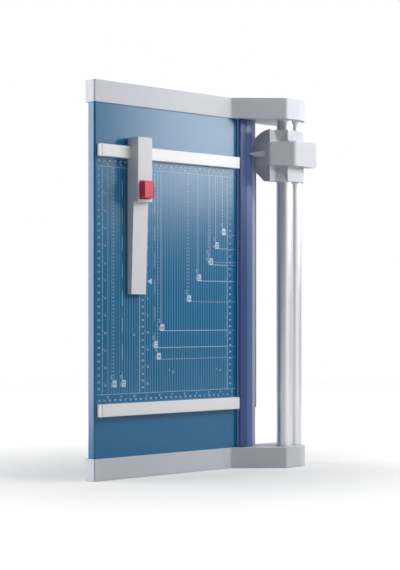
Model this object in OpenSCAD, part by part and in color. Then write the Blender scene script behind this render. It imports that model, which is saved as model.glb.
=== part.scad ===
// Rolling paper trimmer for the desk, lying on its feet in its use pose.
// A cutting head rides on two round rails beside a flat table.
// +X points to the rails, +Y away from the operator, +Z up. The origin lies on the
// desk under the middle of the trimmer. The far side is the one with the backstop.

/* [Table] */
// Length over both end caps
body_l = 582; // [575:1:600]
// Table width, left edge to cutting edge
table_w = 333; // [325:1:340]
// Height of the table's top over the desk
table_top = 22; // [21:0.5:24]
// Height of the folded table
table_h = 16.3; // [14:0.1:16.5]
// Sheet thickness of the table
sheet_t = 1.5; // [1:0.1:2]
// Outside radius of the table's folds
fold_r = 3; // [2:0.5:4]
// Width of the lips turned in under the table
lip_w = 14; // [10:1:20]
// Distance of the table's right edge from the cutting edge
edge_step = 3.6; // [3:0.1:5]

/* [Cutting edge] */
// Length of the bed knife
knife_l = 396; // [385:1:400]
// Width of the bed knife
knife_w = 20; // [16:0.5:22]
// Thickness of the bed knife
knife_t = 4; // [3:0.5:5]
// Slant at each end of the bed knife
knife_slant = 5; // [2:0.5:8]
// Width of the profile that carries the bed knife
carrier_w = 26; // [24:0.5:30]
// Height of the profile that carries the bed knife
carrier_h = 9; // [8:0.5:10]
// Number of bed knife screws
knife_screw_count = 5; // [3:1:7]

/* [End caps] */
// Length of each end cap along the trimmer
cap_l = 32; // [30:0.5:34]
// How far the caps stand out over the table's left edge
cap_side = 2.5; // [2:0.1:4]
// How far the caps stand over the table's top
cap_rise = 2.75; // [2:0.25:4]
// How far the caps reach below the table
cap_drop = 3; // [2.8:0.1:3.2]
// Distance from the cutting edge to the foot of the ramp
ramp_foot = 60; // [58:0.5:64]
// Distance from the cutting edge to the head of the ramp
ramp_head = 6.5; // [4:0.5:8]
// Height of the crown over the table's top
crown_rise = 60.5; // [58:0.5:64]
// Radius of the crown's right shoulder
crown_r = 38; // [36:1:40]
// Distance from the cutting edge to the caps' right face
cap_right = 72; // [72:0.5:74]
// Rounding at the foot and at the head of the ramp
ramp_r = 7; // [4:1:10]
// Depth of the table's seat in a cap
table_seat = 20; // [16:1:22]
// Wall around the hollows under the caps
cap_wall = 3; // [2.5:0.25:4]

/* [Rails] */
// Radius of the guide rails
rail_r = 12.7; // [12:0.1:12.8]
// Wall of the rail tubes
rail_wall = 1.5; // [1.2:0.1:2.5]
// Left rail, distance from the cutting edge
rail_left_out = 27.3; // [26.8:0.1:27.6]
// Left rail, height over the table's top
rail_left_up = 35.8; // [35.5:0.1:36.4]
// Right rail, distance from the cutting edge
rail_right_out = 55.3; // [55:0.1:55.6]
// Right rail, height over the table's top
rail_right_up = 30.3; // [29.8:0.1:30.6]
// Depth of the rails' seats in a cap
rail_seat = 20; // [16:1:22]

/* [Ruler bars] */
// Gap between the ruler bars and the end caps
bar_cap_gap = 61; // [60:0.5:66]
// Width of a ruler bar
bar_w = 18; // [16:0.5:20]
// Height of a ruler bar
bar_h = 9.7; // [9:0.1:10.5]
// Gap between the ruler bars and the clamp strip
bar_strip_gap = 3.2; // [1:0.2:12]
// Distance from the table's left edge to the ruler bars
bar_inset = 5.3; // [4:0.1:8]
// Height of the groove in each side of a bar
groove_h = 2.4; // [2:0.1:3]
// Depth of the groove
groove_d = 1.6; // [1.2:0.1:2]

/* [Clamp strip] */
// Distance from the cutting edge to the strip's left side
strip_left = 44; // [43:0.5:45]
// Distance from the cutting edge to the right side of the strip's body
strip_body_right = 16.5; // [15:0.5:18]
// Distance from the cutting edge to the strip's thin edge
strip_edge = 5; // [4.5:0.25:8]
// Height of the strip's top over the table
strip_top = 8; // [6:0.25:8]
// Thickness of the strip's thin edge
strip_edge_t = 2; // [1.2:0.1:2.2]
// Wall of the strip
strip_wall = 3; // [2:0.25:4]
// Lift of the strip over the table when it isn't pressed
strip_lift = 0.8; // [0.4:0.1:1]

/* [Cutting head] */
// Gap between the head and the far cap, as photographed
head_park = 16.5; // [2:0.5:400]
// Length of the head
head_l = 81; // [78:1:86]
// Length of the head at its bottom edge
head_bottom_l = 52; // [48:1:56]
// Distance from the cutting edge to the blade guard's outer face
guard_out = 7; // [6.5:0.25:8]
// Height of the blade guard's bottom edge over the table
guard_up = 3.9; // [3.5:0.1:4.5]
// Height of the shelf beside the saddle
shelf_up = 37; // [36:0.5:38]
// Height of the carriage over the rails
carriage_up = 53; // [52.5:0.25:54]
// Distance from the cutting edge to the carriage's right face
carriage_right = 71.4; // [71.4:0.2:73]
// Radius of the carriage's right shoulder
carriage_r = 28; // [27:0.5:28]
// Height of the carriage's underside over the table
carriage_under = 12.5; // [11:0.5:12.5]
// Length of the saddle at its left end
saddle_l = 36.5; // [34:0.5:38]
// Length of the saddle at its right end
saddle_right_l = 40; // [38:0.5:42]
// Height of the saddle's top
saddle_up = 64.5; // [62:0.5:66]
// Distance from the cutting edge to the saddle's right face
saddle_reach = 75.5; // [74:0.5:80]
// Radius of the round blade
blade_r = 22; // [20:0.5:22]
// Thickness of the round blade
blade_t = 1; // [0.6:0.1:1.2]
// How far the blade dips below the table's top
blade_dip = 2.7; // [1.5:0.1:3]

/* [Backstop] */
// Distance from the cutting edge to the backstop's left face
stop_left = 270.5; // [70:0.5:324]
// Width of the backstop's block
stop_w = 28.5; // [26:0.5:32]
// Length of the block
stop_block_l = 94.6; // [90:0.5:100]
// How far the block reaches past the ruler bar
stop_over = 13; // [10:0.5:16]
// Height of the block
stop_h = 23.7; // [22:0.1:26]
// Length of the arm
stop_arm_l = 136; // [100:1:140]
// Height of the arm where it leaves the block
arm_h = 14; // [12:0.5:16]
// Height of the arm at its end
arm_end_h = 9; // [7:0.5:11]
// Length of the lock button
button_l = 25.5; // [22:0.5:28]
// Width of the lock button
button_w = 20.5; // [16:0.5:21]
// How far the lock button stands out of the block
button_up = 9.3; // [6:0.1:10]
// Angle that the lock button rocks through
lock_travel = 4; // [2:0.5:4]

/* [Choice] */
// Which sub-part to build

/* [Hidden] */

$fn = 64;

// Fits and overrun
over = 1;
part_gap = 0.3;
run_gap = 0.05;
seat_gap = 0.1;

// Places that the table sets
edge_x = (cap_side + table_w - saddle_reach) / 2;
left_x = edge_x - table_w;
table_right_x = edge_x - edge_step;
table_bottom = table_top - table_h;
cap_bottom = table_bottom - cap_drop;
cap_inner = body_l / 2 - cap_l;
cap_left_x = left_x - cap_side;
cap_right_x = edge_x + cap_right;
cap_flat = table_top + cap_rise;
crown_z = table_top + crown_rise;
carrier_top = table_top - knife_t;
carrier_left_x = edge_x - edge_step - sheet_t - seat_gap - carrier_w;
table_l = 2 * (cap_inner + table_seat - seat_gap);

// Rail places, each as X and height
rail_places = [[edge_x + rail_left_out, table_top + rail_left_up],
    [edge_x + rail_right_out, table_top + rail_right_up]];
rail_l = 2 * (cap_inner + rail_seat - seat_gap);
plug_l = 16;
rail_screw_r = 3;
rail_screw_l = 22;
rail_head_r = 5;
rail_head_h = 5;
rail_washer_r = 8;
rail_washer_t = 1.6;
washer_hole_gap = 0.3;

// Small screws, from the head down
knife_screw_r = 2.5;
knife_head_r = 4.5;
knife_head_h = 3;
knife_screw_edge = 18;
cap_screw_r = 2;
cap_head_r = 3.6;
cap_head_h = 2;
cap_screw_l = 7;
cap_screw_inset = 8;
drive_share = 0.5;
drive_depth_share = 0.6;

// Feet: their inset from the caps' left face, from the table's right edge, from the
// caps' right face and from the caps' outer faces
foot_r = 6;
foot_seat = 1.2;
foot_inset_x = 34;
foot_inset_right = 10;
foot_inset_y = 24.5;

// Hollows under the caps, and the solid pad over each right foot
pocket_count = 5;
shoulder_pocket_count = 2;
foot_pad_l = 18;

// Ruler bars, and the length of the cutting edge between them
edge_l = 2 * (cap_inner - bar_cap_gap - bar_w);
bar_x = left_x + bar_inset;
bar_l = edge_x - strip_left - bar_strip_gap - bar_x;
bar_edge_r = 0.8;
bar_screw_count = 3;
bar_screw_r = 2;
bar_screw_up = 6;
bar_screw_head_r = 4;
bar_screw_head_h = 2;

// Clamp strip and its springs
strip_z = table_top + strip_lift;
strip_r = 1.2;
strip_seat = 12;
strip_pocket_gap = 0.6;
strip_l = 2 * (cap_inner + strip_seat);
strip_roof = table_top + strip_top - strip_wall;
strip_pin_r = 1.5;
strip_pin_out = 25.5;
strip_pin_x = edge_x - strip_pin_out;
strip_pin_y = cap_inner + strip_seat / 2;
strip_pin_drop = 4;
spring_r = 3;
spring_wire = 0.35;
spring_turns = 5;
spring_hole_r = 4.2;

// Cutting head
head_y = cap_inner - head_park - head_l / 2;
blade_z = table_top - blade_dip + blade_r;
blade_x = edge_x + run_gap;
recess_gap = 2;
recess_left = 1.2;
recess_right = 3.2;
recess_r = blade_r + recess_gap;
recess_left_x = edge_x - recess_left;
recess_right_x = edge_x + recess_right;
guard_x = edge_x - guard_out;
shelf_z = table_top + shelf_up;
carriage_z = table_top + carriage_up;
carriage_right_x = edge_x + carriage_right;
carriage_mid_out = 14;
carriage_mid_x = edge_x + carriage_mid_out;
under_z = table_top + carriage_under;
head_near_up = 20;
head_far_r = 51;
head_far_low = sqrt(pow(head_far_r, 2) - pow(shelf_up - guard_up, 2));
head_near_cut = head_l - head_bottom_l - head_far_r + head_far_low;
head_r = 4;
band_t = 1.4;
band_x = guard_x - band_t;
band_r = 7;
scoop_top_out = 17;
scoop_near_out = 12;
scoop_far_out = 3;
bush_wall = 0.8;
bush_l = 12;
bush_r = rail_r + run_gap + bush_wall;
saddle_off = 2.7;
saddle_y = head_y + saddle_off;
saddle_z = table_top + saddle_up;
saddle_ramp_out = 21.8;
saddle_bend_r = 9;
saddle_side_up = 47;
saddle_side_z = table_top + saddle_side_up;
saddle_r = 6;
saddle_edge_r = 3;
saddle_pin_r = 2;
saddle_pin_out = 41.2;
saddle_pin_x = edge_x + saddle_pin_out;
saddle_pin_y = 10;
saddle_pin_up = 6.5;
saddle_pin_down = 7;
guard_screw_r = 1.6;
guard_screw_tip = 1.6;
guard_screw_gap = 1.2;
guard_screw_y = recess_r + guard_screw_gap;
guard_screw_up = 9.6;
guard_screw_z = table_top + guard_screw_up;
guard_head_r = 3;
guard_head_h = 1.8;
finger_reach = 24.7;
finger_base_h = 20;
finger_base_w = 10;
finger_tip_w = 2.2;
finger_tip_h = 1.6;
hub_r = 9;
hub_bore_r = 5;
hub_side_t = 1.7;
axle_r = 3;
axle_head_r = 5;
axle_head_h = 1.4;
axle_l = 9;
guard_recess_r = 11;
guard_wall = 2;
bevel_l = 4;
blade_land_share = 0.3;

// Backstop
stop_x = edge_x - stop_left;
stop_far_y = edge_l / 2 + bar_w + stop_over;
stop_near_y = stop_far_y - stop_block_l;
stop_lift = 0.4;
stop_z = table_top + stop_h;
stop_wall = 2.5;
stop_edge_r = 1.5;
bar_gap = 0.35;
hook_gap = 0.25;
arm_end_y = stop_near_y - stop_arm_l;
pivot_in = 15;
pivot_up = 14;
pivot_y = edge_l / 2 - pivot_in;
pivot_z = table_top + pivot_up;
pivot_r = 1.5;
jaw_t = 1.5;
jaw_screw_r = 1.5;
jaw_screw_l = 6;
jaw_head_r = 2.8;
jaw_head_h = 1;
jaw_boss_r = 3.4;
jaw_screw_near = 36;
jaw_screw_far = 7;
jaw_screw_x = stop_x + stop_w - stop_wall - jaw_boss_r + seat_gap;
jaw_screw_ys = [stop_near_y + jaw_screw_near, edge_l / 2 - jaw_screw_far];
button_in = 17.5;
button_off = 0.3;
button_y = stop_near_y + button_in;
button_x = stop_x + stop_w / 2 - button_off;
button_r = 3;
button_side_gap = 0.5;
button_tilt_gap = button_side_gap + (stop_z - pivot_z) * sin(lock_travel);
lever_w = 9;
lever_x = stop_x + stop_w / 2 - jaw_boss_r;
lever_t = 2;
lever_z = pivot_z - lever_t / 2;
lever_eye_r = 3;
pad_l = 12;
pad_w = 11;
pad_rest_gap = 0.1;
lock_spring_r = 3.5;
lock_spring_wire = 0.4;
lock_spring_turns = 4;

// Coil detail
rings_per_turn = 8;
wire_sides = 6;

// Colours
cap_colour = [0.80, 0.81, 0.84];
table_colour = [0.13, 0.36, 0.55];
steel_colour = [0.70, 0.72, 0.75];
alu_colour = [0.85, 0.86, 0.88];
white_bar_colour = [0.93, 0.93, 0.94];
strip_colour = [0.28, 0.36, 0.62, 0.55];
grey_colour = [0.82, 0.82, 0.84];
guard_colour = [0.66, 0.67, 0.70];
red_colour = [0.80, 0.10, 0.16];
rubber_colour = [0.10, 0.10, 0.11];
bush_colour = [0.90, 0.88, 0.80];

// A point on a circle, and an arc as points
function ring_point(centre, r, a) = centre + r * [cos(a), sin(a)];
function arc(centre, r, a0, a1, steps) =
    [for (i = [0:steps]) ring_point(centre, r, a0 + (a1 - a0) * i / steps)];

// Points of an outline whose corners, each [x, y, radius], are rounded
function unit(v) = v / norm(v);
function turn(a) = a > 180 ? a - 360 : a < -180 ? a + 360 : a;
function corner_arc(p, q, s, r, steps) =
    let (u = unit(p - q), v = unit(s - q), half = acos(u * v) / 2,
        centre = q + unit(u + v) * r / sin(half),
        start = q + u * r / tan(half) - centre, stop = q + v * r / tan(half) - centre,
        a0 = atan2(start[1], start[0]), sweep = turn(atan2(stop[1], stop[0]) - a0))
    arc(centre, r, a0, a0 + sweep, steps);
function flat_xy(c) = [c[0], c[1]];
function rounded(corners, steps = 6) =
    let (n = len(corners))
    [for (i = [0:n - 1])
        let (q = corners[i])
        each q[2] == 0 ? [flat_xy(q)]
            : corner_arc(flat_xy(corners[(i + n - 1) % n]), flat_xy(q),
                flat_xy(corners[(i + 1) % n]), q[2], steps)];

// An outline in X and Z, run from y0 to y1
module along_y(y0, y1) {
    translate([0, y1, 0])
        rotate([90, 0, 0])
            linear_extrude(y1 - y0)
                children();
}

// An outline in Y and Z, run from x0 to x1
module along_x(x0, x1) {
    translate([x0, 0, 0])
        rotate([90, 0, 90])
            linear_extrude(x1 - x0)
                children();
}

// A block between two corners
module block(low, high) {
    translate(low)
        cube(high - low);
}

// A round bar between two values of X, Y or Z
module bar_x(x0, x1, y, z, r) {
    translate([x0, y, z])
        rotate([0, 90, 0])
            cylinder(h = x1 - x0, r = r);
}

module bar_y(x, y0, y1, z, r) {
    translate([x, y1, z])
        rotate([90, 0, 0])
            cylinder(h = y1 - y0, r = r);
}

module bar_z(x, y, z0, z1, r) {
    translate([x, y, z0])
        cylinder(h = z1 - z0, r = r);
}

// A screw along +Z with its head's outer face at zero and a six-sided drive
module screw(r, l, head_r, head_h) {
    difference() {
        union() {
            cylinder(h = head_h, r = head_r);
            cylinder(h = head_h + l, r = r);
        }
        translate([0, 0, -over])
            cylinder(h = over + head_h * drive_depth_share, r = head_r * drive_share, $fn = 6);
    }
}

// A round wire wound about Z from zero to h
module coil(r, wire, turns, h) {
    steps = turns * rings_per_turn;
    path = [for (i = [0:steps])
        [r * cos(i * 360 / rings_per_turn), r * sin(i * 360 / rings_per_turn),
            wire + (h - 2 * wire) * i / steps]];
    points = [for (i = [0:steps]) for (k = [0:wire_sides - 1])
        let (a = i * 360 / rings_per_turn, b = k * 360 / wire_sides)
        path[i] + wire * [cos(b) * cos(a), cos(b) * sin(a), sin(b)]];
    sides = [for (i = [0:steps - 1]) for (k = [0:wire_sides - 1])
        let (m = (k + 1) % wire_sides, a = i * wire_sides + k, b = i * wire_sides + m)
        each [[a, b, b + wire_sides], [a, b + wire_sides, a + wire_sides]]];
    first = [for (k = [1:wire_sides - 2]) [0, k + 1, k]];
    base = steps * wire_sides;
    last = [for (k = [1:wire_sides - 2]) [base, base + k, base + k + 1]];
    polyhedron(points, concat(sides, first, last));
}

// Mirrored copies at both ends of the trimmer
module both_ends() {
    children();
    mirror([0, 1, 0])
        children();
}

// Folded sheet table: top, two sides and two lips turned in, open at its ends
module table_section() {
    inner_r = fold_r - sheet_t;
    difference() {
        polygon(rounded([[left_x, table_bottom, fold_r], [left_x, table_top, fold_r],
            [table_right_x, table_top, fold_r], [table_right_x, table_bottom, fold_r]]));
        polygon(rounded([[left_x + sheet_t, table_bottom + sheet_t, inner_r],
            [left_x + sheet_t, table_top - sheet_t, inner_r],
            [table_right_x - sheet_t, table_top - sheet_t, inner_r],
            [table_right_x - sheet_t, table_bottom + sheet_t, inner_r]]));
        translate([left_x + lip_w, table_bottom - over])
            square([table_w - edge_step - 2 * lip_w, sheet_t + 2 * over]);
    }
}

module table_plate() {
    color(table_colour)
        difference() {
            along_y(-table_l / 2, table_l / 2)
                table_section();
            // seat of the bed knife
            translate([0, 0, carrier_top])
                linear_extrude(knife_t + over)
                    knife_outline(seat_gap, edge_step);
            // holes of the strip's springs
            both_ends()
                bar_z(strip_pin_x, strip_pin_y, table_top - sheet_t - over, table_top + over,
                    spring_hole_r);
            // holes of the screws that hold the ruler bars
            for (side = [-1, 1], i = [0:bar_screw_count - 1])
                bar_z(bar_screw_x(i), side * bar_mid_y(), table_top - sheet_t - over,
                    table_top + over, bar_screw_r + seat_gap);
            // holes of the screws that hold the caps
            both_ends()
                for (x = cap_screw_xs())
                    bar_z(x, cap_inner + cap_screw_inset, table_bottom - over,
                        table_bottom + sheet_t + over, cap_screw_r + seat_gap);
        }
}

// Plan of the bed knife, a bar with slanted ends, grown by a gap on its table sides
module knife_outline(gap, reach) {
    half = knife_l / 2 + gap;
    polygon([[edge_x - knife_w - gap, -half + knife_slant], [edge_x - knife_w - gap, half - knife_slant],
        [edge_x - knife_w - gap + knife_slant, half], [edge_x + reach, half],
        [edge_x + reach, -half], [edge_x - knife_w - gap + knife_slant, -half]]);
}

module bed_knife() {
    color(steel_colour)
        difference() {
            translate([0, 0, carrier_top])
                linear_extrude(knife_t)
                    knife_outline(0, 0);
            for (y = knife_screw_ys())
                bar_z(knife_screw_x(), y, carrier_top - over, table_top - sheet_t,
                    knife_screw_r);
        }
}

function knife_screw_x() = edge_x - knife_w / 2 - edge_step;
function knife_screw_ys() =
    [for (i = [0:knife_screw_count - 1])
        (knife_l - 2 * knife_screw_edge) * (i / (knife_screw_count - 1) - 1 / 2)];

// Solid profile under the table's right edge, from cap to cap
module knife_carrier() {
    color(alu_colour)
        difference() {
            block([carrier_left_x, -table_l / 2, carrier_top - carrier_h],
                [carrier_left_x + carrier_w, table_l / 2, carrier_top]);
            for (y = knife_screw_ys()) {
                bar_z(knife_screw_x(), y, carrier_top - carrier_h - over, carrier_top + over,
                    knife_screw_r + seat_gap);
                bar_z(knife_screw_x(), y, carrier_top - carrier_h - over,
                    carrier_top - carrier_h + knife_head_h, knife_head_r + seat_gap);
            }
            both_ends()
                bar_z(strip_pin_x, strip_pin_y, carrier_top - carrier_h - over,
                    carrier_top + over, strip_pin_r + part_gap);
            both_ends()
                bar_z(cap_screw_xs()[1], cap_inner + cap_screw_inset,
                    carrier_top - carrier_h - over, carrier_top - sheet_t,
                    cap_screw_r);
        }
}

module knife_screws() {
    color(steel_colour)
        for (y = knife_screw_ys())
            translate([knife_screw_x(), y, carrier_top - carrier_h])
                screw(knife_screw_r, carrier_h - knife_head_h + knife_t - sheet_t, knife_head_r,
                    knife_head_h);
}

// End caps: one outline for both, mirrored along Y
function cap_corners() =
    let (small = ramp_r / 3, foot_x = edge_x - ramp_foot, head_x = edge_x + ramp_head)
    [[cap_left_x, cap_bottom, small], [cap_left_x, cap_flat, small],
        [foot_x, cap_flat, ramp_r], [head_x, crown_z, ramp_r],
        [cap_right_x, crown_z, crown_r], [cap_right_x, cap_bottom, small]];

function cap_screw_xs() = [left_x + lip_w / 2, carrier_left_x + cap_screw_inset];

// Hollow under a cap, open at the bottom
module cap_pocket(x0, x1, top) {
    block([x0, cap_inner + table_seat + cap_wall, cap_bottom - over],
        [x1, body_l / 2 - cap_wall, top]);
}

module cap() {
    flat_l = edge_x - ramp_foot - cap_left_x - cap_wall;
    pitch = flat_l / pocket_count;
    shoulder_x = table_right_x + 2 * cap_wall;
    shoulder_l = cap_right_x - foot_pad_l - shoulder_x;
    shoulder_pitch = shoulder_l / shoulder_pocket_count;
    shoulder_top = rail_places[1][1] - rail_r - 2 * cap_wall;
    difference() {
        along_y(cap_inner, body_l / 2)
            polygon(rounded(cap_corners(), 12));
        // seat of the table
        block([left_x - seat_gap, cap_inner - over, table_bottom - seat_gap / 2],
            [table_right_x + seat_gap, cap_inner + table_seat, table_top + seat_gap]);
        // seat of the clamp strip
        block([edge_x - strip_left - strip_pocket_gap, cap_inner - over, table_top],
            [edge_x - strip_edge + strip_pocket_gap, cap_inner + strip_seat + part_gap,
                table_top + strip_top + strip_pocket_gap]);
        // seats, holes and head seats of the rails and their screws
        for (p = rail_places) {
            bar_y(p[0], cap_inner - over, cap_inner + rail_seat, p[1], rail_r + run_gap);
            bar_y(p[0], cap_inner, body_l / 2 + over, p[1], rail_screw_r + seat_gap);
            bar_y(p[0], body_l / 2 - rail_head_h - rail_washer_t, body_l / 2 + over, p[1],
                rail_washer_r + seat_gap);
        }
        // hollows
        for (i = [0:pocket_count - 1])
            cap_pocket(cap_left_x + cap_wall + i * pitch, cap_left_x + (i + 1) * pitch,
                cap_flat - cap_wall);
        for (i = [0:shoulder_pocket_count - 1])
            block([shoulder_x + i * shoulder_pitch, cap_inner + cap_wall, cap_bottom - over],
                [shoulder_x + (i + 1) * shoulder_pitch - cap_wall, body_l / 2 - cap_wall,
                    shoulder_top]);
        // seats of the feet
        for (x = foot_xs())
            bar_z(x, body_l / 2 - foot_inset_y, cap_bottom - over, cap_bottom + foot_seat,
                foot_r + run_gap);
        // holes of the screws into the table
        for (x = cap_screw_xs()) {
            bar_z(x, cap_inner + cap_screw_inset, cap_bottom - over, table_bottom + over,
                cap_screw_r + seat_gap);
            bar_z(x, cap_inner + cap_screw_inset, cap_bottom - over, cap_bottom + cap_head_h,
                cap_head_r + seat_gap);
        }
    }
}

module far_cap() {
    color(cap_colour)
        cap();
}

module near_cap() {
    color(cap_colour)
        mirror([0, 1, 0])
            cap();
}

module cap_screws() {
    color(steel_colour)
        both_ends()
            for (x = cap_screw_xs())
                translate([x, cap_inner + cap_screw_inset, cap_bottom])
                    screw(cap_screw_r, cap_screw_l, cap_head_r, cap_head_h);
}

function foot_xs() =
    [cap_left_x + foot_inset_x, table_right_x - foot_inset_x, cap_right_x - foot_inset_right];

// Rubber feet, pressed into the caps
module feet() {
    color(rubber_colour)
        both_ends()
            for (x = foot_xs())
                bar_z(x, body_l / 2 - foot_inset_y, 0, cap_bottom + foot_seat, foot_r);
}

// Guide rails: drawn tubes, seated in both caps
module rail(place) {
    color(alu_colour)
        difference() {
            bar_y(place[0], -rail_l / 2, rail_l / 2, place[1], rail_r);
            bar_y(place[0], -rail_l / 2 - over, rail_l / 2 + over, place[1], rail_r - rail_wall);
        }
}

module left_rail() {
    rail(rail_places[0]);
}

module right_rail() {
    rail(rail_places[1]);
}

// Threaded plugs in the rails' ends
module rail_plugs() {
    color(steel_colour)
        both_ends()
            for (p = rail_places)
                difference() {
                    bar_y(p[0], rail_l / 2 - plug_l, rail_l / 2, p[1], rail_r - rail_wall);
                    bar_y(p[0], rail_l / 2 - plug_l - over, rail_l / 2 + over, p[1],
                        rail_screw_r);
                }
}

module rail_washers() {
    hole_r = rail_screw_r + washer_hole_gap;
    far = body_l / 2 - rail_head_h;
    color(steel_colour)
        both_ends()
            for (p = rail_places)
                difference() {
                    bar_y(p[0], far - rail_washer_t, far, p[1], rail_washer_r);
                    bar_y(p[0], far - rail_washer_t - over, far + over, p[1], hole_r);
                }
}

module rail_screws() {
    color(steel_colour)
        both_ends()
            for (p = rail_places)
                translate([p[0], body_l / 2, p[1]])
                    rotate([90, 0, 0])
                        screw(rail_screw_r, rail_screw_l, rail_head_r, rail_head_h);
}

// Ruler bars: drawn profiles with a groove in each long side, screwed down from below
function bar_mid_y() = edge_l / 2 + bar_w / 2;
function bar_screw_x(i) = bar_x + bar_l * (i + 1 / 2) / bar_screw_count;

module ruler_bar() {
    top = table_top + bar_h;
    groove_z = table_top + bar_h / 2 - groove_h / 2;
    color(white_bar_colour)
        difference() {
            along_x(bar_x, bar_x + bar_l)
                polygon(rounded([[edge_l / 2, table_top, 0], [edge_l / 2, top, bar_edge_r],
                    [edge_l / 2 + bar_w, top, bar_edge_r], [edge_l / 2 + bar_w, table_top, 0]]));
            block([bar_x - over, edge_l / 2 - over, groove_z],
                [bar_x + bar_l + over, edge_l / 2 + groove_d, groove_z + groove_h]);
            block([bar_x - over, edge_l / 2 + bar_w - groove_d, groove_z],
                [bar_x + bar_l + over, edge_l / 2 + bar_w + over, groove_z + groove_h]);
            for (i = [0:bar_screw_count - 1])
                bar_z(bar_screw_x(i), bar_mid_y(), table_top - over, table_top + bar_screw_up,
                    bar_screw_r);
        }
}

module far_bar() {
    ruler_bar();
}

module near_bar() {
    mirror([0, 1, 0])
        ruler_bar();
}

module bar_screws() {
    low = table_top - sheet_t - bar_screw_head_h;
    color(steel_colour)
        both_ends()
            for (i = [0:bar_screw_count - 1])
                translate([bar_screw_x(i), bar_mid_y(), low])
                    screw(bar_screw_r, sheet_t + bar_screw_up, bar_screw_head_r,
                        bar_screw_head_h);
}

// Clear clamp strip: an inverted channel with a thin edge beside the cutting edge
module clamp_strip() {
    left = edge_x - strip_left;
    right = edge_x - strip_body_right;
    tip = edge_x - strip_edge;
    top = table_top + strip_top;
    color(strip_colour)
        along_y(-strip_l / 2, strip_l / 2)
            polygon(rounded([[left, strip_z, 0], [left, top, strip_r], [right, top, strip_r],
                [right, strip_z + strip_edge_t, strip_r / 2], [tip, strip_z + strip_edge_t, 0],
                [tip, strip_z, 0], [right - strip_wall, strip_z, 0],
                [right - strip_wall, strip_roof, strip_r], [left + strip_wall, strip_roof, strip_r],
                [left + strip_wall, strip_z, 0]]));
}

// Pins under the strip's ends, which run in the knife carrier
module strip_pins() {
    color(steel_colour)
        both_ends()
            bar_z(strip_pin_x, strip_pin_y, carrier_top - strip_pin_drop, strip_roof,
                strip_pin_r);
}

module strip_spring(side) {
    color(steel_colour)
        translate([strip_pin_x, side * strip_pin_y, carrier_top])
            coil(spring_r, spring_wire, spring_turns, strip_roof - carrier_top);
}

module near_spring() {
    strip_spring(-1);
}

module far_spring() {
    strip_spring(1);
}

// Side view of the head: cut off straight at its near corner, one large arc at the far one
function head_side() =
    let (half = head_l / 2, low = table_top + guard_up, far = shelf_z)
    concat(
        rounded([[head_y + half, far, 0], [head_y - half, far, 0],
            [head_y - half, low + head_near_up, head_r],
            [head_y - half + head_near_cut, low, head_r / 2], [head_y, low, 0]]),
        arc([head_y + half - head_far_r, far], head_far_r, asin((low - far) / head_far_r), 0, 12));

module head_side_prism(x0, x1) {
    along_x(x0, x1) {
        polygon(head_side());
        translate([head_y - head_l / 2, shelf_z - over])
            square([head_l, crown_z - shelf_z + over]);
    }
}

// Air beside the saddle: the finger hollow turns steeper towards the saddle
module scoop(side) {
    y0 = saddle_y + side * saddle_l / 2;
    y1 = head_y + side * (head_l / 2 + over);
    hull()
        for (e = [[y0, scoop_near_out], [y1, scoop_far_out]])
            along_y(min(e[0], e[0] + side * run_gap), max(e[0], e[0] + side * run_gap))
                polygon([[recess_left_x - over, shelf_z], [edge_x + e[1], shelf_z],
                    [edge_x + scoop_top_out, carriage_z], [edge_x + scoop_top_out, crown_z],
                    [recess_left_x - over, crown_z]]);
}

module carriage_body() {
    intersection() {
        difference() {
            along_y(head_y - head_l / 2, head_y + head_l / 2)
                polygon(rounded([[recess_left_x, table_top + guard_up, 0],
                    [recess_left_x, carriage_z, 0], [carriage_right_x, carriage_z, carriage_r],
                    [carriage_right_x, under_z, head_r], [carriage_mid_x, under_z, 0],
                    [carriage_mid_x, table_top + guard_up, head_r / 2]], 12));
            scoop(-1);
            scoop(1);
            // the saddle's ramp passes here
            along_y(saddle_y - saddle_l / 2, saddle_y + saddle_l / 2)
                polygon([[recess_left_x - over, shelf_z], [edge_x + scoop_near_out, shelf_z],
                    [edge_x + scoop_top_out, carriage_z], [edge_x + scoop_top_out, crown_z],
                    [recess_left_x - over, crown_z]]);
        }
        head_side_prism(recess_left_x - over, carriage_right_x + over);
    }
}

module carriage() {
    color(grey_colour)
        difference() {
            carriage_body();
            for (p = rail_places)
                bar_y(p[0], head_y - head_l / 2 - over, head_y + head_l / 2 + over, p[1], bush_r);
            // room for the round blade and its hub
            bar_x(recess_left_x - over, recess_right_x, saddle_y, blade_z, recess_r);
            bar_x(recess_left_x, recess_right_x + axle_l, saddle_y, blade_z, axle_r);
            for (y = guard_screw_ys()) {
                bar_x(recess_left_x - over, carriage_mid_x + over, y, guard_screw_z,
                    guard_screw_r + seat_gap);
                bar_x(carriage_mid_x - guard_head_h, carriage_mid_x + over, y, guard_screw_z,
                    guard_head_r + seat_gap);
            }
            for (side = [-1, 1])
                bar_z(saddle_pin_x, saddle_y + side * saddle_pin_y,
                    carriage_z - saddle_pin_down, carriage_z + over, saddle_pin_r);
        }
}

function guard_screw_ys() = [saddle_y - guard_screw_y, saddle_y + guard_screw_y];

// Cover on the blade's table side
module blade_guard() {
    color(guard_colour)
        difference() {
            along_x(guard_x, recess_left_x)
                polygon(head_side());
            bar_x(guard_x + guard_wall, recess_left_x + over, saddle_y, blade_z, guard_recess_r);
            for (y = guard_screw_ys())
                bar_x(guard_x + guard_screw_tip, recess_left_x + over, y, guard_screw_z,
                    guard_screw_r);
        }
}

// Screws that hold the guard from the rails' side
module guard_screws() {
    color(steel_colour)
        for (y = guard_screw_ys())
            translate([carriage_mid_x, y, guard_screw_z])
                rotate([0, -90, 0])
                    screw(guard_screw_r, carriage_mid_x - guard_head_h - guard_x - guard_screw_tip,
                        guard_head_r, guard_head_h);
}

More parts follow.
